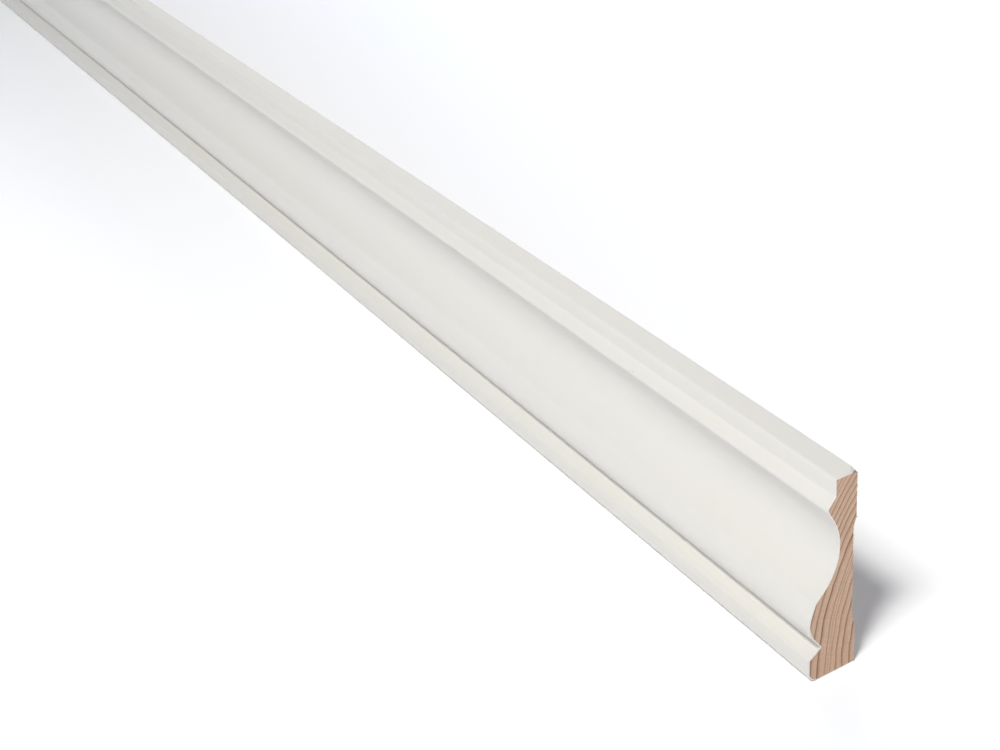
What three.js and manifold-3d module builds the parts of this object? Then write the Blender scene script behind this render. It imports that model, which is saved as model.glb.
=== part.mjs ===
// A door casing: one milled length of painted pine, standing on its thick edge.
// Millimetres. X runs along the length, the shaped front faces -Y, the back faces the wall at +Y, and Z is up.
import * as THREE from "three";
import { mergeVertices } from "three/addons/utils/BufferGeometryUtils.js";
import Module from "manifold-3d";

const length = 1000; // the stock runs on, so it is cut square here
const width = 57.2; // from the thick edge, at the bottom, to the thin edge, at the top
const thickness = 14.3; // at the band along the thick edge
const arcError = 0.01; // furthest that a chord may lie from its arc

// The section. Depths are from the wall plane, heights from the underside, and a radius rounds a corner.
const thinEdge = { depth: 6.5, face: 5, arris: 0.4 };
const nose = { depth: 9, height: 49.35, radius: 1.4 };
const cove = { floor: 5.2, height: 37.9, radius: 17 };
const shoulder = { depth: 12.3, height: 23.75, radius: 2.5 };
const belly = { depth: 15, height: 16.3, radius: 8.3 };
const quirk = { depth: 10.6, height: 9.7, radius: 0.25 };
const band = { height: 7.15, arris: 0.5, foot: 3 };
const relief = { depth: 0.85, bottom: 11.9, top: 43.9, slant: 2.5, radius: 0.5 };
const backArris = 0.3;

// The back corner at the +X end is knocked off: how far that reaches along, in and down.
const chip = { along: 2.5, inward: 2.1, down: 0.8 };

const paintedPine = new THREE.MeshStandardMaterial({ color: 0xe4e3dc, roughness: 0.5, metalness: 0 });

// The corner in which two tangents to the cove's circle meet, one from the corner above it and one from that below.
function coveCorner() {
  const centre = new THREE.Vector2(cove.floor + cove.radius, cove.height);
  const [above, below] = [nose, shoulder].map((corner, i) => {
    const toCorner = new THREE.Vector2(corner.depth, corner.height).sub(centre);
    const swing = Math.acos(cove.radius / toCorner.length());
    return toCorner.normalize().rotateAround(new THREE.Vector2(), i === 0 ? swing : -swing);
  });
  const corner = above.clone().add(below).multiplyScalar(cove.radius / (1 + above.dot(below))).add(centre);
  return { depth: corner.x, height: corner.y, radius: cove.radius };
}

// The section's corners in order, from the underside's back edge round by the front.
function sectionCorners() {
  return [
    { depth: 0, height: 0, radius: backArris },
    { depth: thickness, height: 0, radius: band.foot },
    { depth: thickness, height: band.height, radius: band.arris },
    quirk,
    belly,
    shoulder,
    coveCorner(),
    nose,
    { depth: thinEdge.depth, height: width - thinEdge.face, radius: thinEdge.arris },
    { depth: thinEdge.depth, height: width, radius: thinEdge.arris },
    { depth: 0, height: width, radius: backArris },
    { depth: 0, height: relief.top, radius: relief.radius },
    { depth: relief.depth, height: relief.top - relief.slant, radius: relief.radius },
    { depth: relief.depth, height: relief.bottom + relief.slant, radius: relief.radius },
    { depth: 0, height: relief.bottom, radius: relief.radius },
  ];
}

// The points that round one corner, from the side it is reached on to the side it is left on.
function roundCorner(before, corner, after) {
  const here = new THREE.Vector2(corner.depth, corner.height);
  const back = new THREE.Vector2(before.depth, before.height).sub(here).normalize();
  const on = new THREE.Vector2(after.depth, after.height).sub(here).normalize();
  const opening = Math.acos(back.dot(on));
  const turn = Math.PI - opening;
  const toCentre = back.clone().add(on).setLength(corner.radius / Math.sin(opening / 2));
  const centre = here.clone().add(toCentre);
  const start = here.clone().addScaledVector(back, corner.radius / Math.tan(opening / 2));
  const side = Math.sign(on.cross(back)); // 1 where the outline turns left, -1 where it turns right
  const chords = Math.ceil(turn / (2 * Math.acos(1 - arcError / corner.radius)));
  return Array.from({ length: chords + 1 }, (_, i) =>
    start.clone().rotateAround(centre, (side * turn * i) / chords),
  );
}

// The section as a flat shape: x is the depth from the wall, y the height.
function sectionShape() {
  const corners = sectionCorners();
  const points = corners.flatMap((corner, i) =>
    roundCorner(corners.at(i - 1), corner, corners[(i + 1) % corners.length]),
  );
  return new THREE.Shape(points);
}

// The section run out along X, with the wall plane at +Y and the length centred.
function stickGeometry() {
  const geometry = new THREE.ExtrudeGeometry(sectionShape(), { depth: length, bevelEnabled: false });
  const turn = new THREE.Matrix4().makeBasis(
    new THREE.Vector3(0, -1, 0),
    new THREE.Vector3(0, 0, 1),
    new THREE.Vector3(-1, 0, 0),
  );
  return geometry.applyMatrix4(turn).translate(length / 2, thickness / 2, 0);
}

// A wedge round the missing corner, with its sloping face where the wood broke away.
function chipGeometry() {
  const margin = 1; // how far the wedge stands out of the wood
  const grow = 1 + margin / chip.along + margin / chip.inward + margin / chip.down;
  const corner = new THREE.Vector3(length / 2 + margin, thickness / 2 + margin, width + margin);
  const legs = [[0, 0, 0], [chip.along, 0, 0], [0, chip.inward, 0], [0, 0, chip.down]];
  const points = legs.map((leg) => corner.clone().addScaledVector(new THREE.Vector3(...leg), -grow));
  return new THREE.BufferGeometry().setFromPoints(points).setIndex([0, 1, 2, 0, 2, 3, 0, 3, 1, 1, 3, 2]);
}

const wasm = await Module();
wasm.setup();

// A geometry with its vertices joined, as a closed solid that can be cut.
function solidOf(geometry) {
  const bare = new THREE.BufferGeometry();
  bare.setAttribute("position", geometry.getAttribute("position"));
  bare.setIndex(geometry.getIndex());
  const merged = mergeVertices(bare);
  const vertProperties = merged.getAttribute("position").array;
  const triVerts = new Uint32Array(merged.getIndex().array);
  return new wasm.Manifold(new wasm.Mesh({ numProp: 3, vertProperties, triVerts }));
}

// A cut solid as a geometry with flat faces.
function geometryOf(solid) {
  const mesh = solid.getMesh();
  const geometry = new THREE.BufferGeometry();
  geometry.setAttribute("position", new THREE.BufferAttribute(mesh.vertProperties, mesh.numProp));
  geometry.setIndex(new THREE.BufferAttribute(mesh.triVerts, 1));
  const flat = geometry.toNonIndexed();
  flat.computeVertexNormals();
  return flat;
}

const chippedStick = solidOf(stickGeometry()).subtract(solidOf(chipGeometry()));
const casing = new THREE.Mesh(geometryOf(chippedStick), paintedPine);
casing.name = "casing";

const doorCasing = new THREE.Group();
doorCasing.add(casing);

export default doorCasing;
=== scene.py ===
# A length of door casing: painted pine, sawn square, standing on its thick edge on a pale studio floor.
import math

import bmesh
import bpy
import numpy as np
from mathutils import Matrix, Vector, geometry, noise


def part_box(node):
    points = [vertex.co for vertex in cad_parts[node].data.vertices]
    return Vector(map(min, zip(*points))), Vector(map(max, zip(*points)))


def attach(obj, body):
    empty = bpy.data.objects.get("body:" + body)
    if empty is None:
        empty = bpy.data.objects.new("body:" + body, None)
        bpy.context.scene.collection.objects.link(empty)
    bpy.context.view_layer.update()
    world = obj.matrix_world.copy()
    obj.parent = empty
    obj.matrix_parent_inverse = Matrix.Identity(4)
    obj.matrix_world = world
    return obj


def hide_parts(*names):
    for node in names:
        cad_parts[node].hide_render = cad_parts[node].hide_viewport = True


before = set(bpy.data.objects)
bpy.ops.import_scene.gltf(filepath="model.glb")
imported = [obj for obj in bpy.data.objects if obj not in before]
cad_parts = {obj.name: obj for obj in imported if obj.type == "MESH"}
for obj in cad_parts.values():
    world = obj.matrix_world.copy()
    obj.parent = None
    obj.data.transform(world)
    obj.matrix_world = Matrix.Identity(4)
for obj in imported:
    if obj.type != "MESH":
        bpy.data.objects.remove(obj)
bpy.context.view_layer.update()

mm = 0.001
scene = bpy.context.scene
low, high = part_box("casing")
print("frame loaded, the casing is", [round(v / mm, 2) for v in high - low], "mm")


# Colours are written as sRGB hex and turned to linear here, once.
def linear(hexColour):
    parts = [int(hexColour[i:i + 2], 16) / 255 for i in (1, 3, 5)]
    return [p / 12.92 if p < 0.04045 else ((p + 0.055) / 1.055) ** 2.4 for p in parts] + [1]


# Adds a node with its settings. A socket given as an input is linked, anything else is set.
def addNode(tree, kind, inputs=None, out=0, **settings):
    node = tree.nodes.new(kind)
    for key, value in settings.items():
        setattr(node, key, value)
    for key, value in (inputs or {}).items():
        if isinstance(key, int):
            socket = node.inputs[key]
        else:
            socket = next(s for s in node.inputs if s.enabled and key in (s.identifier, s.name))
        if isinstance(value, bpy.types.NodeSocket):
            tree.links.new(value, socket)
        else:
            socket.default_value = value
    return node.outputs[out] if node.outputs else node


# Sets a colour ramp's stops, each a grey level given as (place, level).
def fillRamp(ramp, stops):
    while len(ramp.elements) > 1:
        ramp.elements.remove(ramp.elements[-1])
    ramp.elements[0].position = stops[0][0]
    for at, level in stops[1:]:
        ramp.elements.new(at)
    for element, (at, level) in zip(ramp.elements, stops):
        element.color = (level, level, level, 1)


# An uneven pattern drawn out along the stick, from a place in mm and the length and width of its spots.
def drawnOut(tree, place, length, width, detail=2):
    spots = (1 / length, 1 / width, 1 / width)
    stretched = addNode(tree, "ShaderNodeVectorMath", {0: place, 1: spots}, operation="MULTIPLY")
    return addNode(tree, "ShaderNodeTexNoise", {"Vector": stretched, "Scale": 1, "Detail": detail})


# The camera and the studio.

camera = {
    "beyondEnd": 233.73,  # mm past the cut end
    "inFront": 193.19,    # mm in front of the band
    "height": 271.46,     # mm above the floor
    "azimuth": 63.03,     # degrees round from straight in front
    "down": 30.57,
    "roll": 6.44,
    "lens": 58.11,
    "sensor": 36,
    "sees": (0.01, 60),   # metres, the nearest and the furthest
}


def makeCamera(c):
    data = bpy.data.cameras.new("camera")
    data.lens = c["lens"]
    data.sensor_width = c["sensor"]
    data.clip_start, data.clip_end = c["sees"]
    rig = bpy.data.objects.new("camera", data)
    place = (high.x + c["beyondEnd"] * mm, low.y - c["inFront"] * mm, low.z + c["height"] * mm)
    turn = Matrix.Rotation(math.radians(c["azimuth"]), 4, "Z")
    tilt = Matrix.Rotation(math.radians(90 - c["down"]), 4, "X")
    lean = Matrix.Rotation(math.radians(-c["roll"]), 4, "Z")
    rig.matrix_world = Matrix.Translation(place) @ turn @ tilt @ lean
    scene.collection.objects.link(rig)
    scene.camera = rig


# Lights are placed as seen from what they point at: degrees round from straight in front, positive towards
# the cut end, and degrees above the floor. Distances and sizes are in metres, power in watts.
studio = {
    "sky": "#D3E2FF",
    # how bright the sky is, by the sine of its height above the floor
    "skyLight": ((0, 0.95), (0.1, 0.8), (0.3, 0.22), (1, 0.16)),
    "floor": "#FAFAFA",
    "floorRadius": 30,
    "floorRoughness": 0.8,
    "floorSheen": 0.2,
    # the floor has a weak glow of its own, so strong at so many metres from the stick
    "glowColour": "#EFF4FF",
    "floorGlow": ((0, 0.05), (0.05, 0.05), (0.2, 0.34), (1, 0.5), (4, 0.9)),
    "lights": {
        "key": {"aim": 0, "azimuth": 30, "height": 62, "distance": 1.8, "size": 0.22, "power": 16.2},
        "twin": {"aim": 0.05, "azimuth": 22, "height": 58, "distance": 1.4, "size": 0.24, "power": 7.8},
        "fill": {"aim": 0.35, "azimuth": -12, "height": 14, "distance": 1.2, "size": 0.8, "power": 0.1},
        "backdrop": {"aim": 0.3, "azimuth": -118, "height": 30, "distance": 2.6, "size": 2.2, "power": 18},
    },
    "lamp": "#FFFEFB",
}


def floorMaterial(s):
    material = bpy.data.materials.new("mattWhiteBoard")
    material.use_nodes = True
    tree = material.node_tree
    shader = tree.nodes["Principled BSDF"]
    shader.inputs["Base Color"].default_value = linear(s["floor"])
    shader.inputs["Roughness"].default_value = s["floorRoughness"]
    shader.inputs["Specular IOR Level"].default_value = s["floorSheen"]
    shader.inputs["Emission Color"].default_value = linear(s["glowColour"])
    origin = addNode(tree, "ShaderNodeTexCoord", out="Object")
    place = addNode(tree, "ShaderNodeSeparateXYZ", {0: origin})
    past = addNode(tree, "ShaderNodeMath", {0: place}, operation="ABSOLUTE")
    past = addNode(tree, "ShaderNodeMath", {0: past, 1: high.x}, operation="SUBTRACT")
    past = addNode(tree, "ShaderNodeMath", {0: past, 1: 0}, operation="MAXIMUM")
    away = addNode(tree, "ShaderNodeCombineXYZ", {0: past, 1: place.node.outputs[1]})
    away = addNode(tree, "ShaderNodeVectorMath", {0: away}, 1, operation="LENGTH")
    furthest = s["floorGlow"][-1][0]
    share = addNode(tree, "ShaderNodeMath", {0: away, 1: furthest}, operation="DIVIDE")
    glow = addNode(tree, "ShaderNodeValToRGB", {0: share})
    fillRamp(glow.node.color_ramp, [(at / furthest, level) for at, level in s["floorGlow"]])
    tree.links.new(glow, shader.inputs["Emission Strength"])
    return material


# A soft light, aimed at a point so far in from the cut end.
def makeLight(name, l, colour):
    lamp = bpy.data.lights.new(name, "AREA")
    lamp.shape = "ELLIPSE"
    lamp.size = lamp.size_y = l["size"]
    lamp.energy = l["power"]
    lamp.color = linear(colour)[:3]
    light = bpy.data.objects.new(name, lamp)
    around, up = math.radians(l["azimuth"]), math.radians(l["height"])
    towards = Vector((math.sin(around) * math.cos(up), -math.cos(around) * math.cos(up), math.sin(up)))
    light.location = Vector((high.x - l["aim"], 0, 0)) + towards * l["distance"]
    light.rotation_euler = towards.to_track_quat("Z", "Y").to_euler()
    light.visible_camera = False
    scene.collection.objects.link(light)


def makeStudio(s):
    world = bpy.data.worlds.new("studioSky")
    world.use_nodes = True
    tree = world.node_tree
    background = tree.nodes["Background"]
    background.inputs["Color"].default_value = linear(s["sky"])
    towards = addNode(tree, "ShaderNodeTexCoord", out="Generated")
    towards = addNode(tree, "ShaderNodeSeparateXYZ", {0: towards}, 2)
    strength = addNode(tree, "ShaderNodeValToRGB", {0: towards})
    fillRamp(strength.node.color_ramp, s["skyLight"])
    tree.links.new(strength, background.inputs["Strength"])
    scene.world = world

    shape = bmesh.new()
    bmesh.ops.create_circle(shape, cap_ends=True, segments=96, radius=s["floorRadius"])
    mesh = bpy.data.meshes.new("floor")
    shape.to_mesh(mesh)
    shape.free()
    mesh.materials.append(floorMaterial(s))
    floor = bpy.data.objects.new("floor", mesh)
    scene.collection.objects.link(floor)

    for name, light in s["lights"].items():
        makeLight(name, light, s["lamp"])
    scene.view_settings.view_transform = "Standard"


makeCamera(camera)
makeStudio(studio)
print("camera, floor and lights are in place")


# The wood's growth rings, used by the finishes and by the relief of the sawn ends alike.

pine = {
    "pith": (76.65, -1.33),   # mm, Y and Z of the tree's middle as seen from the cut end
    "firstYear": 59.15,       # mm from the pith to the first ring in the list
    "years": [                # how wide each year grew, mm, and how dark its late wood is
        (2.6, 0.8), (2.1, 0.7), (2.4, 0.9), (2.9, 0.8),
        (2.35, 0.85), (2.45, 0.85), (2.0, 0.8), (1.6, 0.5), (0.7, 0.55), (0.9, 0.8),
        (2.5, 1.0), (2.1, 0.85), (1.8, 0.85), (1.5, 0.9), (1.5, 0.8), (1.6, 0.9), (1.55, 0.8),
        (1.35, 0.5), (1.0, 0.8), (1.5, 0.8), (1.5, 0.85),
        (1.7, 0.7), (1.4, 0.9), (1.9, 0.8), (1.6, 0.6), (1.3, 0.9), (1.8, 0.8), (1.5, 0.7),
    ],
    "season": (               # how dark the wood is through one year's growth
        (0, 0.25), (0.05, 0.02), (0.5, 0.06), (0.75, 0.35), (0.88, 0.95), (0.96, 1), (1, 0.5)),
    "lean": (0, 0.008, -0.012),  # how far the pith leaves the stick's line, mm for each mm
    "wander": 5.0,               # mm, on top of that, from side to side
    "wanderStart": 150,          # mm from the cut end before it reaches that
    "wanderLength": 160,         # mm along the stick between its swings
    "wobble": 0.35,              # mm, unevenness of a ring
    "wobbleLength": 60,          # mm between uneven spots along the stick
    "wobbleWidth": 7,            # and across it
}


# From a place in mm, sockets for how dark its late wood is, how far the pith is and in which direction.
def growthRings(tree, place):
    p = pine
    pith = (high.x / mm, *p["pith"])
    start = addNode(tree, "ShaderNodeVectorMath", {0: place, 1: pith}, operation="SUBTRACT")
    back = addNode(tree, "ShaderNodeSeparateXYZ", {0: start})
    leaning = addNode(tree, "ShaderNodeVectorMath", {0: p["lean"], "Scale": back}, operation="SCALE")
    swings = addNode(tree, "ShaderNodeMath", {0: back, 1: 1 / p["wanderLength"]}, operation="MULTIPLY")
    slow = addNode(tree, "ShaderNodeTexNoise", {"W": swings, "Scale": 1, "Detail": 1}, "Color",
                   noise_dimensions="1D")
    swing = addNode(tree, "ShaderNodeVectorMath", {0: slow, 1: (0.5, 0.5, 0.5)}, operation="SUBTRACT")
    grown = addNode(tree, "ShaderNodeMapRange", {
        "Value": back, "From Min": 0, "From Max": -p["wanderStart"], "To Min": 0, "To Max": p["wander"]})
    swung = addNode(tree, "ShaderNodeVectorMath", {0: swing, "Scale": grown}, operation="SCALE")
    moved = addNode(tree, "ShaderNodeVectorMath", {0: start, 1: leaning}, operation="ADD")
    moved = addNode(tree, "ShaderNodeVectorMath", {0: moved, 1: swung}, operation="ADD")
    across = addNode(tree, "ShaderNodeVectorMath", {0: moved, 1: (0, 1, 1)}, operation="MULTIPLY")
    plain = addNode(tree, "ShaderNodeVectorMath", {0: across}, 1, operation="LENGTH")
    uneven = drawnOut(tree, place, p["wobbleLength"], p["wobbleWidth"])
    wobble = addNode(tree, "ShaderNodeMapRange", {
        "Value": uneven, "From Min": 0.2, "From Max": 0.8, "To Min": -p["wobble"], "To Max": p["wobble"]})
    radius = addNode(tree, "ShaderNodeMath", {0: plain, 1: wobble}, operation="ADD")
    total = sum(width for width, dark in p["years"])
    share = addNode(tree, "ShaderNodeMapRange", {
        "Value": radius, "From Min": p["firstYear"], "From Max": p["firstYear"] + total})
    calendar = addNode(tree, "ShaderNodeFloatCurve", {"Value": share})
    curve = calendar.node.mapping.curves[0]
    grownSoFar = 0
    for i, (width, dark) in enumerate(p["years"][:-1]):
        grownSoFar += width
        curve.points.new(grownSoFar / total, (i + 1) / len(p["years"]))
    for point in curve.points:
        point.handle_type = "VECTOR"
    calendar.node.mapping.update()
    year = addNode(tree, "ShaderNodeMath", {0: calendar, 1: len(p["years"])}, operation="MULTIPLY")
    season = addNode(tree, "ShaderNodeMath", {0: year}, operation="FRACT")
    late = addNode(tree, "ShaderNodeValToRGB", {0: season})
    fillRamp(late.node.color_ramp, p["season"])
    number = addNode(tree, "ShaderNodeMath", {0: year}, operation="FLOOR")
    middle = addNode(tree, "ShaderNodeMath", {0: number, 1: 0.5}, operation="ADD")
    middle = addNode(tree, "ShaderNodeMath", {0: middle, 1: len(p["years"])}, operation="DIVIDE")
    strength = addNode(tree, "ShaderNodeValToRGB", {0: middle})
    darks = [dark for width, dark in p["years"]]
    strength.node.color_ramp.interpolation = "CONSTANT"
    fillRamp(strength.node.color_ramp, [(i / len(darks), dark) for i, dark in enumerate(darks)])
    dark = addNode(tree, "ShaderNodeMath", {0: late, 1: strength}, operation="MULTIPLY")
    return dark, radius, across


# Starts a finish: its material and tree, and the place on the piece in mm.
def newFinish(name):
    material = bpy.data.materials.new(name)
    material.use_nodes = True
    tree = material.node_tree
    origin = addNode(tree, "ShaderNodeTexCoord", out="Object")
    place = addNode(tree, "ShaderNodeVectorMath", {0: origin, "Scale": 1 / mm}, operation="SCALE")
    return material, tree, place


# A colour that shifts towards another in patches so many mm across.
def patchyColour(tree, place, size, colour, other):
    patches = addNode(tree, "ShaderNodeTexNoise", {"Vector": place, "Scale": 1 / size, "Detail": 2})
    return addNode(tree, "ShaderNodeMix", {
        "Factor_Float": patches, "A_Color": linear(colour), "B_Color": linear(other)}, 2, data_type="RGBA")


# A bump made of patterns, each of which rises so many mm.
def relief(tree, patterns):
    height = 0
    for pattern, rise in patterns:
        height = addNode(tree, "ShaderNodeMath", {0: pattern, 1: rise, 2: height}, operation="MULTIPLY_ADD")
    return addNode(tree, "ShaderNodeBump", {"Strength": 1, "Distance": mm, "Height": height})


# Ends a finish with its colour and bump, and with its roughness as a pattern or as one number.
def endFinish(material, colour, bump, roughness):
    tree = material.node_tree
    shader = tree.nodes["Principled BSDF"]
    tree.links.new(colour, shader.inputs["Base Color"])
    tree.links.new(bump, shader.inputs["Normal"])
    if isinstance(roughness, bpy.types.NodeSocket):
        tree.links.new(roughness, shader.inputs["Roughness"])
    else:
        shader.inputs["Roughness"].default_value = roughness
    return material


# Satin water-borne acrylic sprayed over primer on pine: an even warm white with a low sheen, where the
# wood's fibres and the drops of the spray just show in the sheen. The nick in the nose lets the wood show.
satinPaint = {
    "colour": "#D8D5CE",
    "warmer": "#D9D4CA",
    "cloud": 55,          # mm, patches of slightly warmer tone
    "roughness": 0.4,
    "uneven": 0.04,       # how far the roughness strays from that, drop by drop
    "peel": 1.1,          # mm across a drop's dimple
    "peelHeight": 0.004,
    "fibre": 0.4,         # mm between fibres that show through
    "fibreLength": 14,
    "fibreHeight": 0.006,
    "ringHeight": 0.012,  # late wood stands a little proud under the film
    "bared": "#C9B48B",
}

nick = {
    "along": 420.5,          # mm towards the cut end from the middle
    "height": 49.7,
    "size": 0.7,             # mm from its middle to its edge
    "longer": 1.5,           # times as long as it is high
    "depth": 0.12,
    "sections": 5,           # extra sections each side of it that hold its shape
    "bared": 0.35,           # how much of the wood's colour shows
    "baredShape": (0.6, 0, 1),   # the bared spot is measured with its length cut to this
    "baredEdge": (0.5, 1.2),     # in sizes, where the bared wood begins to go and is gone
}


def makeSatinPaint(p):
    material, tree, place = newFinish("satinPaint")
    tone = patchyColour(tree, place, p["cloud"], p["colour"], p["warmer"])
    fibres = drawnOut(tree, place, p["fibreLength"], p["fibre"])
    peel = addNode(tree, "ShaderNodeTexNoise", {"Vector": place, "Scale": 1 / p["peel"], "Detail": 1})
    dark = growthRings(tree, place)[0]
    bump = relief(tree, ((fibres, p["fibreHeight"]), (peel, p["peelHeight"]), (dark, p["ringHeight"])))
    sheen = addNode(tree, "ShaderNodeMapRange", {
        "Value": peel, "From Min": 0.3, "From Max": 0.7,
        "To Min": p["roughness"] - p["uneven"], "To Max": p["roughness"] + p["uneven"]})
    fromNick = addNode(tree, "ShaderNodeVectorMath", {0: place, 1: (
        nick["along"], (low.y + high.y) / 2 / mm, nick["height"])}, operation="SUBTRACT")
    fromNick = addNode(tree, "ShaderNodeVectorMath", {0: fromNick, 1: nick["baredShape"]},
                       operation="MULTIPLY")
    away = addNode(tree, "ShaderNodeVectorMath", {0: fromNick}, 1, operation="LENGTH")
    ragged = addNode(tree, "ShaderNodeMath", {0: fibres, 1: 0.5, 2: away}, operation="MULTIPLY_ADD")
    fading, gone = nick["baredEdge"]
    bared = addNode(tree, "ShaderNodeMapRange", {
        "Value": ragged, "From Min": nick["size"] * fading, "From Max": nick["size"] * gone,
        "To Min": nick["bared"], "To Max": 0})
    tone = addNode(tree, "ShaderNodeMix", {
        "Factor_Float": bared, "A_Color": tone, "B_Color": linear(p["bared"])}, 2, data_type="RGBA")
    return endFinish(material, tone, bump, sheen)


# Pine end grain from a fine-toothed mitre saw: matt, pinkish tan early wood with red-brown late wood,
# rays across the rings, a speckle of open cells and faint arcs from the blade.
sawnEnd = {
    "early": "#D3B399",
    "earlyWarm": "#CFAB8C",
    "late": "#864E2D",
    "roughness": 0.75,
    "patch": 9,          # mm, slow changes of tone
    "cell": 0.22,        # mm, coarser than real cells so that they show
    "streak": 0.2,       # mm across a streak that follows the rings
    "streakLength": 6,
    "streakBreaks": (0.65, 1.1),  # times as dark, where a streak breaks up the late wood and where not
    "ray": 0.3,          # mm across a ray
    "rayLength": 3.5,
    "blade": (90, 165),  # mm, Y and Z of the saw's arbor
    "toothPitch": 0.7,
    "relief": 0.02,      # mm that the late wood stands proud
    "roughHeight": 0.02,  # mm, of the cells and of the teeth's marks
    "dryness": 0.08,      # early wood is so much rougher, late wood so much smoother
    # the light on the wood: a plain share, and what each pattern adds
    "plainShade": 0.27,
    "cellShade": 0.56,
    "streakShade": 0.66,
    "rayShade": 0.14,
    "toothShade": 0.1,
}


def makeSawnEnd(s):
    material, tree, place = newFinish("sawnPineEnd")
    dark, radius, across = growthRings(tree, place)
    early = patchyColour(tree, place, s["patch"], s["early"], s["earlyWarm"])
    parts = addNode(tree, "ShaderNodeSeparateXYZ", {0: across}, 1)
    turn = addNode(tree, "ShaderNodeMath", {0: parts.node.outputs[2], 1: parts}, operation="ARCTAN2")
    around = addNode(tree, "ShaderNodeMath", {0: turn, 1: pine["pith"][0]}, operation="MULTIPLY")
    polar = addNode(tree, "ShaderNodeCombineXYZ", {0: around, 1: radius})
    squeezed = addNode(tree, "ShaderNodeVectorMath", {
        0: polar, 1: (1 / s["streakLength"], 1 / s["streak"], 1)}, operation="MULTIPLY")
    streaks = addNode(tree, "ShaderNodeTexNoise", {"Vector": squeezed, "Scale": 1, "Detail": 2})
    squeezed = addNode(tree, "ShaderNodeVectorMath", {
        0: polar, 1: (1 / s["ray"], 1 / s["rayLength"], 1)}, operation="MULTIPLY")
    rays = addNode(tree, "ShaderNodeTexNoise", {"Vector": squeezed, "Scale": 1, "Detail": 1})
    least, most = s["streakBreaks"]
    broken = addNode(tree, "ShaderNodeMapRange", {
        "Value": streaks, "From Min": 0.3, "From Max": 0.7, "To Min": least, "To Max": most})
    broken = addNode(tree, "ShaderNodeMath", {0: dark, 1: broken}, operation="MULTIPLY", use_clamp=True)
    wood = addNode(tree, "ShaderNodeMix", {
        "Factor_Float": broken, "A_Color": early, "B_Color": linear(s["late"])}, 2, data_type="RGBA")
    cells = addNode(tree, "ShaderNodeTexNoise", {"Vector": place, "Scale": 1 / s["cell"], "Detail": 2})
    arbor = addNode(tree, "ShaderNodeVectorMath", {0: place, 1: (0, *s["blade"])}, operation="SUBTRACT")
    arbor = addNode(tree, "ShaderNodeVectorMath", {0: arbor, 1: (0, 1, 1)}, operation="MULTIPLY")
    reach = addNode(tree, "ShaderNodeVectorMath", {0: arbor}, 1, operation="LENGTH")
    teeth = addNode(tree, "ShaderNodeTexNoise", {"W": reach, "Scale": 1 / s["toothPitch"], "Detail": 2},
                    noise_dimensions="1D")
    shade = addNode(tree, "ShaderNodeMath", {0: cells, 1: s["cellShade"]}, operation="MULTIPLY")
    for pattern, share in ((streaks, s["streakShade"]), (rays, s["rayShade"]), (teeth, s["toothShade"])):
        shade = addNode(tree, "ShaderNodeMath", {0: pattern, 1: share, 2: shade}, operation="MULTIPLY_ADD")
    shade = addNode(tree, "ShaderNodeMath", {0: shade, 1: s["plainShade"]}, operation="ADD")
    tinted = addNode(tree, "ShaderNodeMix", {
        "Factor_Float": 1, "A_Color": wood, "B_Color": shade}, 2, data_type="RGBA", blend_type="MULTIPLY")
    bump = relief(tree, ((cells, s["roughHeight"]), (teeth, s["roughHeight"]), (dark, s["relief"])))
    dry = addNode(tree, "ShaderNodeMapRange", {
        "Value": dark, "To Min": s["roughness"] + s["dryness"], "To Max": s["roughness"] - s["dryness"]})
    return endFinish(material, tinted, bump, dry)


# Planed pine, bare: pale straw with orange-brown late wood in long flames, fine fibre lines and the
# faint cross ripple of a four-sided planer. Spray has drifted on to it along both edges.
planedBack = {
    "early": "#E3C9A0",
    "earlyWarm": "#DDBD90",
    "late": "#B5844F",
    "roughness": 0.62,
    "patch": 30,
    "fibre": 0.18,       # mm, coarser than real fibres so that they show
    "fibreLength": 9,
    "fibreShade": (0.88, 1.04),
    "fibreHeight": 0.015,
    "ringHeight": 0.01,
    "knifePitch": 1.9,
    "knifeHeight": 0.004,
    "overspray": 1.2,    # mm in from each edge
    "sprayWander": 2.4,  # mm, how far its ragged limit strays
    "sprayWaves": 0.9,   # waves of that for each mm
    "sprayFade": 1.5,    # mm over which it thickens towards the edge
}


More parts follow.
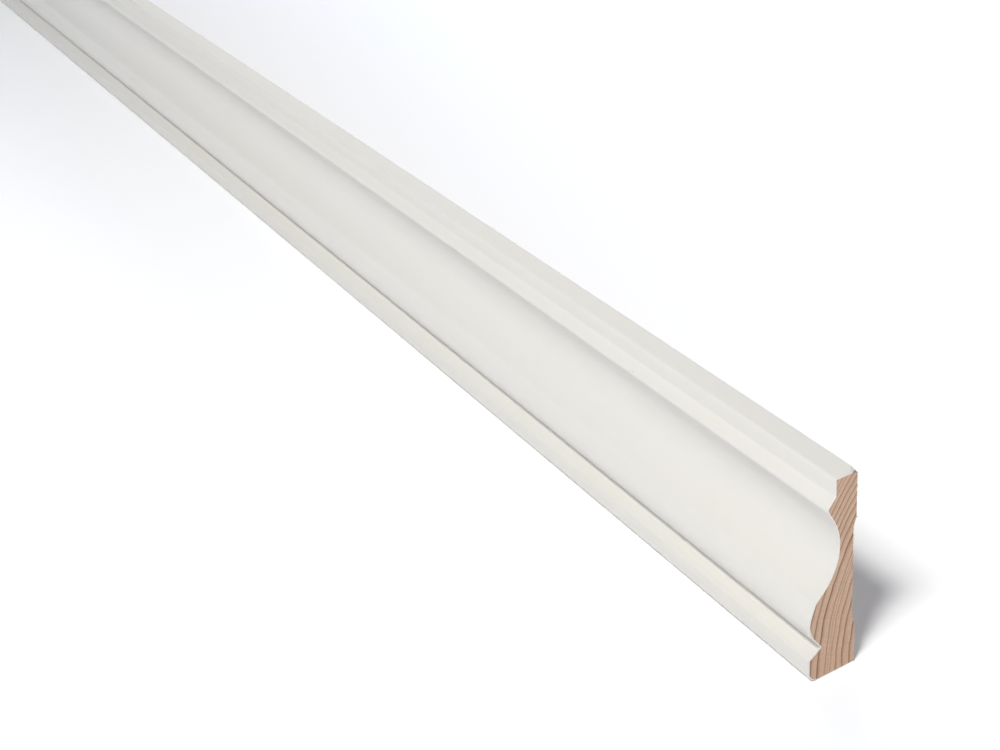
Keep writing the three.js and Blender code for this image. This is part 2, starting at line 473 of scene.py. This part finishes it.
def makePlanedBack(b):
    material, tree, place = newFinish("planedPineBack")
    dark = growthRings(tree, place)[0]
    early = patchyColour(tree, place, b["patch"], b["early"], b["earlyWarm"])
    wood = addNode(tree, "ShaderNodeMix", {
        "Factor_Float": dark, "A_Color": early, "B_Color": linear(b["late"])}, 2, data_type="RGBA")
    fibres = drawnOut(tree, place, b["fibreLength"], b["fibre"])
    darkest, palest = b["fibreShade"]
    shade = addNode(tree, "ShaderNodeMapRange", {
        "Value": fibres, "From Min": 0.3, "From Max": 0.7, "To Min": darkest, "To Max": palest})
    tinted = addNode(tree, "ShaderNodeMix", {
        "Factor_Float": 1, "A_Color": wood, "B_Color": shade}, 2, data_type="RGBA", blend_type="MULTIPLY")
    parts = addNode(tree, "ShaderNodeSeparateXYZ", {0: place})
    turns = 2 * math.pi / b["knifePitch"]
    knife = addNode(tree, "ShaderNodeMath", {0: parts, 1: turns}, operation="MULTIPLY")
    ripple = addNode(tree, "ShaderNodeMath", {0: knife}, operation="SINE")
    bump = relief(tree, ((ripple, b["knifeHeight"]), (fibres, b["fibreHeight"]), (dark, b["ringHeight"])))
    # the spray grows thicker with the distance from the middle, from a ragged limit near each edge
    middle = (high.z + low.z) / 2 / mm
    up = parts.node.outputs[2]
    fromMiddle = addNode(tree, "ShaderNodeMath", {0: up, 1: middle}, operation="SUBTRACT")
    fromMiddle = addNode(tree, "ShaderNodeMath", {0: fromMiddle}, operation="ABSOLUTE")
    ragged = addNode(tree, "ShaderNodeTexNoise", {
        "Vector": place, "Scale": b["sprayWaves"], "Detail": 4, "Roughness": 0.7})
    limit = addNode(tree, "ShaderNodeMath", {0: ragged, 1: b["sprayWander"], 2: fromMiddle},
                    operation="MULTIPLY_ADD")
    spray = addNode(tree, "ShaderNodeMapRange", {
        "Value": limit, "From Min": middle + b["sprayWander"] / 2 - b["overspray"],
        "From Max": middle + b["sprayFade"]})
    sprayed = addNode(tree, "ShaderNodeMix", {
        "Factor_Float": spray, "A_Color": tinted, "B_Color": linear(satinPaint["colour"])}, 2,
        data_type="RGBA")
    return endFinish(material, sprayed, bump, b["roughness"])


# The knocked corner: paint pressed flat with its wood, and a tip where the film is gone and the broken,
# crushed fibres are coloured dark grey. Very matt.
knockedCorner = {
    "fresh": "#94897E",
    "grey": "#74767A",
    "roughness": 0.9,
    "fibre": 0.12,        # mm across a fibre
    "fibreLength": 1.25,
    "fibreHeight": 0.05,
    "tip": (0.95, 1.5),   # mm along and in from the corner that the bare tip reaches
    "tipEdge": (1.15, 1.35),  # in those reaches, where the film begins and is whole
}


def makeKnockedCorner(k):
    material, tree, place = newFinish("crushedPineCorner")
    fibres = drawnOut(tree, place, k["fibreLength"], k["fibre"], 3)
    wood = addNode(tree, "ShaderNodeMix", {
        "Factor_Float": fibres, "A_Color": linear(k["grey"]), "B_Color": linear(k["fresh"])}, 2,
        data_type="RGBA")
    corner = (high.x / mm, high.y / mm, 0)
    inwards = addNode(tree, "ShaderNodeVectorMath", {0: corner, 1: place}, operation="SUBTRACT")
    reach = addNode(tree, "ShaderNodeVectorMath", {
        0: inwards, 1: (1 / k["tip"][0], 1 / k["tip"][1], 0)}, "Value", operation="DOT_PRODUCT")
    ragged = addNode(tree, "ShaderNodeMath", {0: fibres, 1: 0.5, 2: reach}, operation="MULTIPLY_ADD")
    begins, whole = k["tipEdge"]
    kept = addNode(tree, "ShaderNodeMapRange", {"Value": ragged, "From Min": begins, "From Max": whole})
    colour = addNode(tree, "ShaderNodeMix", {
        "Factor_Float": kept, "A_Color": wood, "B_Color": linear(satinPaint["colour"])}, 2,
        data_type="RGBA")
    bump = addNode(tree, "ShaderNodeBump", {
        "Strength": 1, "Distance": k["fibreHeight"] * mm, "Height": fibres})
    return endFinish(material, colour, bump, k["roughness"])


# The film as the saw lays it open round the end: white undercoat under the paint, a little rough.
cutFilmWithHighlight = {
    # whiter than the paint: partly the undercoat's own white, partly a painted highlight of the cut edge
    "colour": "#F6F4EF",
    "chipped": "#E4DCCF",
    "roughness": 0.6,
    "chip": 0.5,          # mm between the small breaks along it
    "chipDepth": 0.02,
}


def makeCutFilmWithHighlight(f):
    material, tree, place = newFinish("cutPaintFilmWithHighlight")
    breaks = addNode(tree, "ShaderNodeTexNoise", {"Vector": place, "Scale": 1 / f["chip"], "Detail": 2})
    shown = addNode(tree, "ShaderNodeMapRange", {"Value": breaks, "From Min": 0.5, "From Max": 0.7})
    tone = addNode(tree, "ShaderNodeMix", {
        "Factor_Float": shown, "A_Color": linear(f["colour"]), "B_Color": linear(f["chipped"])}, 2,
        data_type="RGBA")
    bump = addNode(tree, "ShaderNodeBump", {
        "Strength": 0.5, "Distance": f["chipDepth"] * mm, "Height": breaks})
    return endFinish(material, tone, bump, f["roughness"])


paint = makeSatinPaint(satinPaint)
endGrain = makeSawnEnd(sawnEnd)
bareBack = makePlanedBack(planedBack)
crushed = makeKnockedCorner(knockedCorner)
openFilmWithHighlight = makeCutFilmWithHighlight(cutFilmWithHighlight)
print("paint and wood finishes are made")


# The section's corners are (depth from the wall, height, radius of the corner), in mm.
casing = {
    "thinEdge": (6.5, 0.4),
    "thinFace": 5,
    "nose": (9, 49.35, 1.4),
    "coveFloor": (5.2, 37.9, 17),
    "shoulder": (12.3, 23.75, 2.5),
    "belly": (15, 16.3, 8.3),
    "quirk": (10.6, 9.7, 0.25),
    "band": 7.15,
    "bandArris": 0.5,
    "foot": 3,
    "reliefDepth": 0.85,
    "reliefBottom": 11.9,
    "reliefTop": 43.9,
    "reliefSlant": 2.5,
    "reliefRadius": 0.5,
    "backArris": 0.3,
    "profileStep": 0.6,    # mm between points on a straight stretch
    "cornerPoints": 2.8,   # points on a corner for each mm of its radius
    "stations": 185,       # sections along the length, crowded towards the cut end
    "crowding": 1.6,
    "waveHeight": 0.05,    # mm, how much the moulder's cutters wander
    "waveLength": 90,
    "waveWidth": 25,
    "fibreHeight": 0.012,  # mm, fibres raised under the paint
    "fibreLength": 40,
    "fibreWidth": 1.4,
    "seed": 3,
    "seedStep": 7.3,       # how far apart in the noise two seeds lie
    "facingWall": 0.75,    # faces turned this far towards the wall are bare
    "easedEdge": 0.08,     # mm, the sawn edges are not knife-sharp
    "film": 0.2,           # mm, paint and undercoat as the saw lays them open
    "raggedBack": 0.1,     # mm, how far the sawn back edge wanders
    "raggedWaves": 0.9,    # waves of that for each mm of the edge
    "tornLength": 0.5,     # mm, fibres that the saw tore out along it
    "tornWidth": 0.07,
    "tornShare": 0.14,     # how many of the edge's points carry one
    "tornBend": 0.35,      # how far a tip bends over, in lengths
    "tornSmallest": 0.25,  # of the full size
    "tornSizeSeed": 11,
    "endStep": 0.26,       # mm between points on the cut end
    "farEndStep": 0.5,
    "cellSpread": 1.6,     # open cells raised on it, for each mm
    "cellShare": 0.6,      # how proud they stand beside the late wood
    "chip": (2.5, 2.1, 0.8),  # mm along, in and down, at the cut end's back corner
    "crumple": 0.04,       # mm, unevenness of the pressed wood there
    "crumpleWaves": 2.2,   # for each mm
    "sharpFrom": 40,       # degrees between faces that meet in a sharp edge
}

# The stick's material slots while it is made.
slots = {"paint": 0, "bareBack": 1, "crushed": 2, "film": 3}


# Where the tangents to the cove from the nose and from the shoulder meet.
def coveCorner(c):
    floor, height, radius = c["coveFloor"]
    centre = Vector((floor + radius, height))
    touches = []
    for corner, side in ((c["nose"], 1), (c["shoulder"], -1)):
        away = Vector(corner[:2]) - centre
        swing = side * math.acos(radius / away.length)
        away.normalize()
        touches.append(Matrix.Rotation(swing, 2) @ away)
    above, below = touches
    corner = centre + (above + below) * radius / (1 + above.dot(below))
    return (corner.x, corner.y, radius)


def sectionCorners(c):
    thick, wide = (high.y - low.y) / mm, (high.z - low.z) / mm
    depth, arris = c["thinEdge"]
    return [
        (0, 0, c["backArris"]),
        (thick, 0, c["foot"]),
        (thick, c["band"], c["bandArris"]),
        c["quirk"],
        c["belly"],
        c["shoulder"],
        coveCorner(c),
        c["nose"],
        (depth, wide - c["thinFace"], arris),
        (depth, wide, arris),
        (0, wide, c["backArris"]),
        (0, c["reliefTop"], c["reliefRadius"]),
        (c["reliefDepth"], c["reliefTop"] - c["reliefSlant"], c["reliefRadius"]),
        (c["reliefDepth"], c["reliefBottom"] + c["reliefSlant"], c["reliefRadius"]),
        (0, c["reliefBottom"], c["reliefRadius"]),
    ]


# The corners as a closed curve. Each point's radius says how the corner is rounded.
def makeSection(c):
    corners = sectionCorners(c)
    curve = bpy.data.curves.new("casingSection", "CURVE")
    curve.dimensions = "3D"
    spline = curve.splines.new("POLY")
    spline.points.add(len(corners) - 1)
    spline.use_cyclic_u = True
    for point, (depth, height, radius) in zip(spline.points, corners):
        point.co = (high.y - depth * mm, -height * mm, 0, 1)  # the sweep turns the curve's Y downwards
        point.radius = radius * mm
    section = bpy.data.objects.new("casingSection", curve)
    scene.collection.objects.link(section)
    return section


# A new tree with its inputs, and the sockets they are read from.
def newTree(name, inputs):
    tree = bpy.data.node_groups.new(name, "GeometryNodeTree")
    tree.interface.new_socket("Geometry", in_out="OUTPUT", socket_type="NodeSocketGeometry")
    tree.interface.new_socket("Geometry", in_out="INPUT", socket_type="NodeSocketGeometry")
    for label, kind in inputs.items():
        tree.interface.new_socket(label, in_out="INPUT", socket_type="NodeSocket" + kind)
    given = tree.nodes.new("NodeGroupInput").outputs
    return tree, given


# Runs a tree on a piece with the values given by name, and keeps the result as the piece's own mesh.
def runTree(piece, tree, values):
    modifier = piece.modifiers.new(tree.name, "NODES")
    modifier.node_group = tree
    for item in tree.interface.items_tree:
        if item.in_out == "INPUT" and item.name in values:
            modifier[item.identifier] = values[item.name]
    depsgraph = bpy.context.evaluated_depsgraph_get()
    mesh = bpy.data.meshes.new_from_object(piece.evaluated_get(depsgraph))
    piece.modifiers.remove(modifier)
    piece.data = mesh


# Rounds the section's corners, fills its straights with points and runs it out along X.
def casingRunTree(c):
    tree, given = newTree("casingRun", {
        "Section": "Object", "Length": "Float", "Profile Step": "Float", "Corner Points": "Float",
        "Stations": "Int", "Crowding": "Float", "Wave Height": "Float", "Fibre Height": "Float",
        "Seed": "Int", "Paint": "Material", "Bare Back": "Material"})
    section = addNode(tree, "GeometryNodeObjectInfo", {"Object": given["Section"]}, "Geometry")
    radius = addNode(tree, "GeometryNodeInputRadius")
    points = addNode(tree, "ShaderNodeMath", {0: radius, 1: given["Corner Points"]}, operation="MULTIPLY")
    points = addNode(tree, "ShaderNodeMath", {0: points, 1: 1 / mm}, operation="MULTIPLY")
    points = addNode(tree, "ShaderNodeMath", {0: points, 1: 3}, operation="MAXIMUM")
    rounded = addNode(tree, "GeometryNodeFilletCurve", {
        "Curve": section, "Count": points, "Radius": radius, "Limit Radius": False}, mode="POLY")
    here = addNode(tree, "GeometryNodeInputPosition")
    following = addNode(tree, "GeometryNodeOffsetPointInCurve", {"Offset": 1}, "Point Index")
    there = addNode(tree, "GeometryNodeFieldAtIndex", {"Value": here, "Index": following},
                    data_type="FLOAT_VECTOR", domain="POINT")
    gap = addNode(tree, "ShaderNodeVectorMath", {0: here, 1: there}, "Value", operation="DISTANCE")
    cuts = addNode(tree, "ShaderNodeMath", {0: gap, 1: given["Profile Step"]}, operation="DIVIDE")
    cuts = addNode(tree, "ShaderNodeMath", {0: cuts}, operation="FLOOR")
    outline = addNode(tree, "GeometryNodeSubdivideCurve", {"Curve": rounded, "Cuts": cuts})

    half = addNode(tree, "ShaderNodeMath", {0: given["Length"], 1: 0.5}, operation="MULTIPLY")
    line = addNode(tree, "GeometryNodeCurvePrimitiveLine", {"Start": (-0.5, 0, 0), "End": (0.5, 0, 0)})
    line = addNode(tree, "GeometryNodeResampleCurve", {"Curve": line, "Count": given["Stations"]})
    share = addNode(tree, "GeometryNodeSplineParameter", out="Factor")
    left = addNode(tree, "ShaderNodeMath", {0: share, 1: given["Crowding"]}, operation="POWER")
    left = addNode(tree, "ShaderNodeMath", {0: left, 1: given["Length"]}, operation="MULTIPLY")
    along = addNode(tree, "ShaderNodeMath", {0: half, 1: left}, operation="SUBTRACT")
    station = addNode(tree, "ShaderNodeCombineXYZ", {0: along})
    line = addNode(tree, "GeometryNodeSetPosition", {"Geometry": line, "Position": station})
    line = addNode(tree, "GeometryNodeSetCurveNormal", {"Curve": line}, mode="Z_UP")
    line = addNode(tree, "GeometryNodeSetCurveRadius", {"Curve": line, "Radius": 1.0})
    swept = addNode(tree, "GeometryNodeCurveToMesh", {"Curve": line, "Profile Curve": outline})

    inMm = addNode(tree, "ShaderNodeVectorMath", {0: here, "Scale": 1 / mm}, operation="SCALE")
    seed = addNode(tree, "ShaderNodeMath", {0: given["Seed"], 1: c["seedStep"]}, operation="MULTIPLY")
    height = 0
    for length, width, detail, rise in (
            (c["waveLength"], c["waveWidth"], 1, given["Wave Height"]),
            (c["fibreLength"], c["fibreWidth"], 2, given["Fibre Height"])):
        uneven = drawnOut(tree, inMm, length, width, detail)
        uneven.node.noise_dimensions = "4D"
        tree.links.new(seed, uneven.node.inputs["W"])
        uneven = addNode(tree, "ShaderNodeMath", {0: uneven, 1: 0.5}, operation="SUBTRACT")
        height = addNode(tree, "ShaderNodeMath", {0: uneven, 1: rise, 2: height}, operation="MULTIPLY_ADD")
    facing = addNode(tree, "GeometryNodeInputNormal")
    offset = addNode(tree, "ShaderNodeVectorMath", {0: facing, "Scale": height}, operation="SCALE")
    swept = addNode(tree, "GeometryNodeSetPosition", {"Geometry": swept, "Offset": offset})

    towardsWall = addNode(tree, "ShaderNodeSeparateXYZ", {0: facing}, 1)
    isBack = addNode(tree, "FunctionNodeCompare", {0: towardsWall, 1: c["facingWall"]},
                     operation="GREATER_THAN")
    whole = addNode(tree, "GeometryNodeRealizeInstances", {"Geometry": swept})
    whole = addNode(tree, "GeometryNodeSetMaterial", {"Geometry": whole, "Material": given["Paint"]})
    whole = addNode(tree, "GeometryNodeSetMaterial", {
        "Geometry": whole, "Selection": isBack, "Material": given["Bare Back"]})
    addNode(tree, "NodeGroupOutput", {"Geometry": whole})
    return tree


# The points round one open end, in order, anticlockwise when seen from the cut end.
def endRing(shape, side):
    here = next(v for v in shape.verts if v.is_boundary and v.co.x * side > 0)
    ring, last = [here], None
    while True:
        edge = next(e for e in here.link_edges if e.is_boundary and e is not last)
        here, last = edge.other_vert(here), edge
        if here is ring[0]:
            break
        ring.append(here)
    area = sum(a.co.y * b.co.z - b.co.y * a.co.z for a, b in zip(ring, ring[1:] + ring[:1]))
    return ring if area > 0 else ring[::-1]


# An anticlockwise outline moved inwards. At a sharp corner a point moves no more than twice as far.
def inset(outline, amount):
    before = outline - np.roll(outline, 1, 0)
    after = np.roll(outline, -1, 0) - outline
    before /= np.linalg.norm(before, axis=1)[:, None]
    after /= np.linalg.norm(after, axis=1)[:, None]
    inward = np.stack([-(before + after)[:, 1], (before + after)[:, 0]], 1)
    inward /= np.linalg.norm(inward, axis=1)[:, None]
    squareOn = inward[:, 1] * before[:, 0] - inward[:, 0] * before[:, 1]
    return outline + inward * (amount / np.maximum(squareOn, 0.5))[:, None]


# Points on a slightly uneven grid of triangles that lie well inside an outline.
def pointsInside(outline, step, seed):
    rowStep, uneven, clearance = step * 0.866, step * 0.15, step * 0.6
    lowest, highest = outline.min(0), outline.max(0)
    rows = np.arange(lowest[1], highest[1], rowStep)
    columns = np.arange(lowest[0], highest[0], step)
    grid = np.array([(y + step / 2 * (j % 2), z) for j, z in enumerate(rows) for y in columns])
    grid += np.random.default_rng(seed).uniform(-1, 1, grid.shape) * uneven
    start, end = outline[None], np.roll(outline, -1, 0)[None]
    point, run = grid[:, None], np.roll(outline, -1, 0)[None] - outline[None]
    crosses = (start[..., 1] > point[..., 1]) != (end[..., 1] > point[..., 1])
    rise = np.where(run[..., 1] == 0, 1, run[..., 1])
    left = point[..., 0] < start[..., 0] + (point[..., 1] - start[..., 1]) * run[..., 0] / rise
    within = (crosses & left).sum(1) % 2 == 1
    share = (((point - start) * run).sum(2) / (run ** 2).sum(2)).clip(0, 1)
    clear = np.linalg.norm(start + share[..., None] * run - point, axis=2).min(1)
    return grid[within & (clear > clearance)]


# Closes one end: an eased edge, then the sawn face with the paint film laid open along the painted side.
def closeEnd(shape, side, step, c):
    ring = endRing(shape, side)
    count = len(ring)
    x = side * (high.x - low.x) / 2
    painted = []
    for a, b in zip(ring, ring[1:] + ring[:1]):
        edge = next(e for e in a.link_edges if e.other_vert(a) is b)
        painted.append(edge.link_faces[0].material_index == slots["paint"])
    proud = shape.verts.layers.float["endGrain"]
    torn = shape.verts.layers.float["torn"]
    sawn = shape.faces.layers.float["sawn"]
    for i, vert in enumerate(ring):
        if not painted[i] and not painted[i - 1]:
            ragged = noise.noise((side * 5, 3, vert.co.z / mm * c["raggedWaves"]))
            vert.co.y += ragged * c["raggedBack"] * mm
    outline = np.array([(v.co.y, v.co.z) for v in ring]) / mm
    face, film = inset(outline, c["easedEdge"]), inset(outline, c["easedEdge"] + c["film"])
    rim = [shape.verts.new((x, y * mm, z * mm)) for y, z in face]
    for i, vert in enumerate(rim):
        following = (i + 1) % count
        quad = (ring[i], ring[following], rim[following], vert)
        new = shape.faces.new(quad if side > 0 else quad[::-1])
        new.material_index = slots["paint"] if painted[i] else slots["bareBack"]
        if not painted[i] and not painted[i - 1]:
            vert[torn] = ring[i][torn] = side
    inside = pointsInside(film, step, c["seed"] + side)
    points = [Vector(p) for p in (*face, *film, *inside)]
    filmEdge = [(count + i, count + (i + 1) % count) for i in range(count)]
    flat = geometry.delaunay_2d_cdt(points, filmEdge, [list(range(count))], 1, 1e-6, True)
    corners = []
    for place, origin in zip(flat[0], flat[3]):
        if origin and origin[0] < count:
            corners.append(rim[origin[0]])
            continue
        vert = shape.verts.new((x, place.x * mm, place.y * mm))
        vert[proud] = side if origin and origin[0] >= 2 * count else 0
        corners.append(vert)
    outer = {vert: painted[i] for i, vert in enumerate(rim)}
    for triangle, source in zip(flat[2], flat[5]):
        if not source:
            continue  # it bridges a hollow of the outline
        verts = [corners[i] for i in triangle]
        new = shape.faces.new(verts if side > 0 else verts[::-1])
        isFilm = any(outer.get(v, False) for v in verts)
        new.material_index = slots["film"] if isFilm else slots["bareBack"]
        new[sawn] = 0 if isFilm else 1


# A dent in the paint on the nose, with a few extra sections there to hold it.
def dentNose(shape, n):
    along, height, size, depth = n["along"], n["height"], n["size"], n["depth"]
    for i in range(-n["sections"], n["sections"] + 1):
        whole = shape.verts[:] + shape.edges[:] + shape.faces[:]
        at = ((along + i * size / 3) * mm, 0, 0)
        bmesh.ops.bisect_plane(shape, geom=whole, dist=1e-7, plane_co=at, plane_no=(1, 0, 0))
    shape.normal_update()
    for vert in shape.verts:
        if vert.co.y > 0 or abs(vert.co.x / mm - along) > size * 2:
            continue
        away = math.hypot((vert.co.x / mm - along) / n["longer"], vert.co.z / mm - height)
        if away < size:
            vert.co -= vert.normal * depth * mm * (1 - (away / size) ** 2) ** 2


# The back corner at the cut end, knocked flat: what stood past the break lies crushed on it.
def knockCorner(shape, c):
    legs = Vector(c["chip"]) * mm
    across = Vector((1 / legs.x, 1 / legs.y, 1 / legs.z)).normalized()
    edge = Vector((high.x - legs.x, high.y, high.z))
    reach = 2 * legs.x
    near = [v for v in shape.verts if (v.co - high).length < reach]
    lines = {e for v in near for e in v.link_edges}
    bmesh.ops.subdivide_edges(shape, edges=list(lines), cuts=2, use_grid_fill=True)
    near = [v for v in shape.verts if (v.co - high).length < reach]
    lines = {e for v in near for e in v.link_edges}
    faces = {f for v in near for f in v.link_faces}
    whole = [*near, *lines, *faces]
    onPlane = 1e-6  # metres
    bmesh.ops.bisect_plane(shape, geom=whole, dist=onPlane, plane_co=edge, plane_no=across)
    sawn = shape.faces.layers.float["sawn"]
    proud = shape.verts.layers.float["endGrain"]
    torn = shape.verts.layers.float["torn"]
    pressed = set()
    for vert in shape.verts:
        past = (vert.co - edge).dot(across)
        if vert.co.x < 0 or past < -onPlane:
            continue
        crumple = noise.noise(vert.co / mm * c["crumpleWaves"]) * min(past, c["crumple"] * mm)
        vert.co -= across * (past + crumple)
        vert[proud] = vert[torn] = 0
        pressed.add(vert)
    for face in shape.faces:
        if all(v in pressed for v in face.verts):
            face.material_index = slots["crushed"]
            face[sawn] = 0


# Raises the late wood on the sawn ends, sets torn fibres along their back edges and finishes the ends.
def sawnEndsTree(c):
    tree, given = newTree("sawnEnds", {
        "Relief": "Float", "Fibre Length": "Float", "Fibre Width": "Float", "Fibre Share": "Float",
        "Seed": "Int", "End Grain": "Material", "Fibre Wood": "Material"})
    here = addNode(tree, "GeometryNodeInputPosition")
    inMm = addNode(tree, "ShaderNodeVectorMath", {0: here, "Scale": 1 / mm}, operation="SCALE")
    dark = growthRings(tree, inMm)[0]
    proud = addNode(tree, "GeometryNodeInputNamedAttribute", {"Name": "endGrain"}, data_type="FLOAT")
    cells = addNode(tree, "ShaderNodeTexNoise", {"Vector": inMm, "Scale": c["cellSpread"], "Detail": 2})
    height = addNode(tree, "ShaderNodeMath", {0: cells, 1: c["cellShare"], 2: dark},
                     operation="MULTIPLY_ADD")
    height = addNode(tree, "ShaderNodeMath", {0: height, 1: given["Relief"]}, operation="MULTIPLY")
    height = addNode(tree, "ShaderNodeMath", {0: height, 1: proud}, operation="MULTIPLY")
    lift = addNode(tree, "ShaderNodeCombineXYZ", {0: height})
    raised = addNode(tree, "GeometryNodeSetPosition", {"Geometry": given["Geometry"], "Offset": lift})
    sawn = addNode(tree, "GeometryNodeInputNamedAttribute", {"Name": "sawn"}, data_type="FLOAT")
    raised = addNode(tree, "GeometryNodeSetMaterial", {
        "Geometry": raised, "Selection": sawn, "Material": given["End Grain"]})

    torn = addNode(tree, "GeometryNodeInputNamedAttribute", {"Name": "torn"}, data_type="FLOAT")
    isTorn = addNode(tree, "ShaderNodeMath", {0: torn}, operation="ABSOLUTE")
    chance = addNode(tree, "FunctionNodeRandomValue", {
        "Min_001": 0.0, "Max_001": 1.0, "Seed": given["Seed"]}, 1, data_type="FLOAT")
    few = addNode(tree, "FunctionNodeCompare", {0: chance, 1: given["Fibre Share"]}, operation="LESS_THAN")
    chosen = addNode(tree, "ShaderNodeMath", {0: isTorn, 1: few}, operation="MULTIPLY")
    roots = addNode(tree, "GeometryNodeMeshToPoints", {"Mesh": given["Geometry"], "Selection": chosen})
    fibre = addNode(tree, "GeometryNodeMeshCone", {
        "Vertices": 5, "Side Segments": 4, "Radius Top": 0.0, "Radius Bottom": given["Fibre Width"],
        "Depth": given["Fibre Length"]}, "Mesh")
    parts = addNode(tree, "ShaderNodeSeparateXYZ", {0: here}, 2)
    reach = addNode(tree, "ShaderNodeMath", {0: parts, 1: given["Fibre Length"]}, operation="DIVIDE")
    reach = addNode(tree, "ShaderNodeMath", {0: reach, 1: 2}, operation="POWER")
    reach = addNode(tree, "ShaderNodeMath", {0: reach, 1: given["Fibre Length"]}, operation="MULTIPLY")
    reach = addNode(tree, "ShaderNodeMath", {0: reach, 1: c["tornBend"]}, operation="MULTIPLY")
    bend = addNode(tree, "ShaderNodeCombineXYZ", {0: reach})
    fibre = addNode(tree, "GeometryNodeSetPosition", {"Geometry": fibre, "Offset": bend})
    spread = addNode(tree, "FunctionNodeRandomValue", {
        "Min": (0.3, 0.2, -0.7), "Max": (1.0, 1.3, 0.7), "Seed": given["Seed"]}, data_type="FLOAT_VECTOR")
    ends = addNode(tree, "ShaderNodeCombineXYZ", {0: torn, 1: 1.0, 2: 1.0})
    aim = addNode(tree, "ShaderNodeVectorMath", {0: spread, 1: ends}, operation="MULTIPLY")
    aimed = addNode(tree, "FunctionNodeAlignRotationToVector", {"Vector": aim}, axis="Z")
    size = addNode(tree, "FunctionNodeRandomValue", {
        "Min_001": c["tornSmallest"], "Max_001": 1.0, "Seed": c["tornSizeSeed"]}, 1, data_type="FLOAT")
    fibres = addNode(tree, "GeometryNodeInstanceOnPoints", {
        "Points": roots, "Instance": fibre, "Rotation": aimed, "Scale": size})
    fibres = addNode(tree, "GeometryNodeRealizeInstances", {"Geometry": fibres})
    fibres = addNode(tree, "GeometryNodeSetMaterial", {"Geometry": fibres, "Material": given["Fibre Wood"]})
    joined = tree.nodes.new("GeometryNodeJoinGeometry")
    tree.links.new(fibres, joined.inputs[0])
    tree.links.new(raised, joined.inputs[0])
    addNode(tree, "NodeGroupOutput", {"Geometry": joined.outputs[0]})
    return tree


# Keeps only the materials that faces use.
def dropUnusedMaterials(mesh):
    worn = [p.material_index for p in mesh.polygons]
    used = sorted(set(worn))
    materials = [mesh.materials[i] for i in used]
    mesh.materials.clear()
    for material in materials:
        mesh.materials.append(material)
    mesh.polygons.foreach_set("material_index", [used.index(i) for i in worn])


def makeCasing(c):
    section = makeSection(c)
    stick = bpy.data.objects.new("casingStick", bpy.data.meshes.new("casingStick"))
    scene.collection.objects.link(stick)
    runTree(stick, casingRunTree(c), {
        "Section": section, "Length": high.x - low.x - 2 * c["easedEdge"] * mm,
        "Profile Step": c["profileStep"] * mm, "Corner Points": c["cornerPoints"],
        "Stations": c["stations"], "Crowding": c["crowding"],
        "Wave Height": c["waveHeight"] * mm, "Fibre Height": c["fibreHeight"] * mm,
        "Seed": c["seed"], "Paint": paint, "Bare Back": bareBack})
    bpy.data.objects.remove(section)
    print("casing run out,", len(stick.data.polygons), "faces", [m.name for m in stick.data.materials])

    shape = bmesh.new()
    shape.from_mesh(stick.data)
    for layer in ("endGrain", "torn"):
        shape.verts.layers.float.new(layer)
    shape.faces.layers.float.new("sawn")
    dentNose(shape, nick)
    closeEnd(shape, 1, c["endStep"], c)
    closeEnd(shape, -1, c["farEndStep"], c)
    knockCorner(shape, c)
    volume = shape.calc_volume(signed=True)
    loose = sum(e.is_boundary for e in shape.edges)
    for material in (crushed, openFilmWithHighlight):
        stick.data.materials.append(material)
    shape.to_mesh(stick.data)
    shape.free()
    print("ends closed,", loose, "open edges, volume", round(volume * 1e6, 1), "cm3")

    runTree(stick, sawnEndsTree(c), {
        "Relief": sawnEnd["relief"] * mm, "Fibre Length": c["tornLength"] * mm,
        "Fibre Width": c["tornWidth"] * mm, "Fibre Share": c["tornShare"], "Seed": c["seed"],
        "End Grain": endGrain, "Fibre Wood": bareBack})
    dropUnusedMaterials(stick.data)
    stick.data.shade_smooth()
    stick.data.set_sharp_from_angle(angle=math.radians(c["sharpFrom"]))
    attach(stick, "root")
    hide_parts("casing")
    triangles = sum(len(p.vertices) - 2 for p in stick.data.polygons)
    print("casing finished,", triangles, "triangles", [m.name for m in stick.data.materials])


makeCasing(casing)
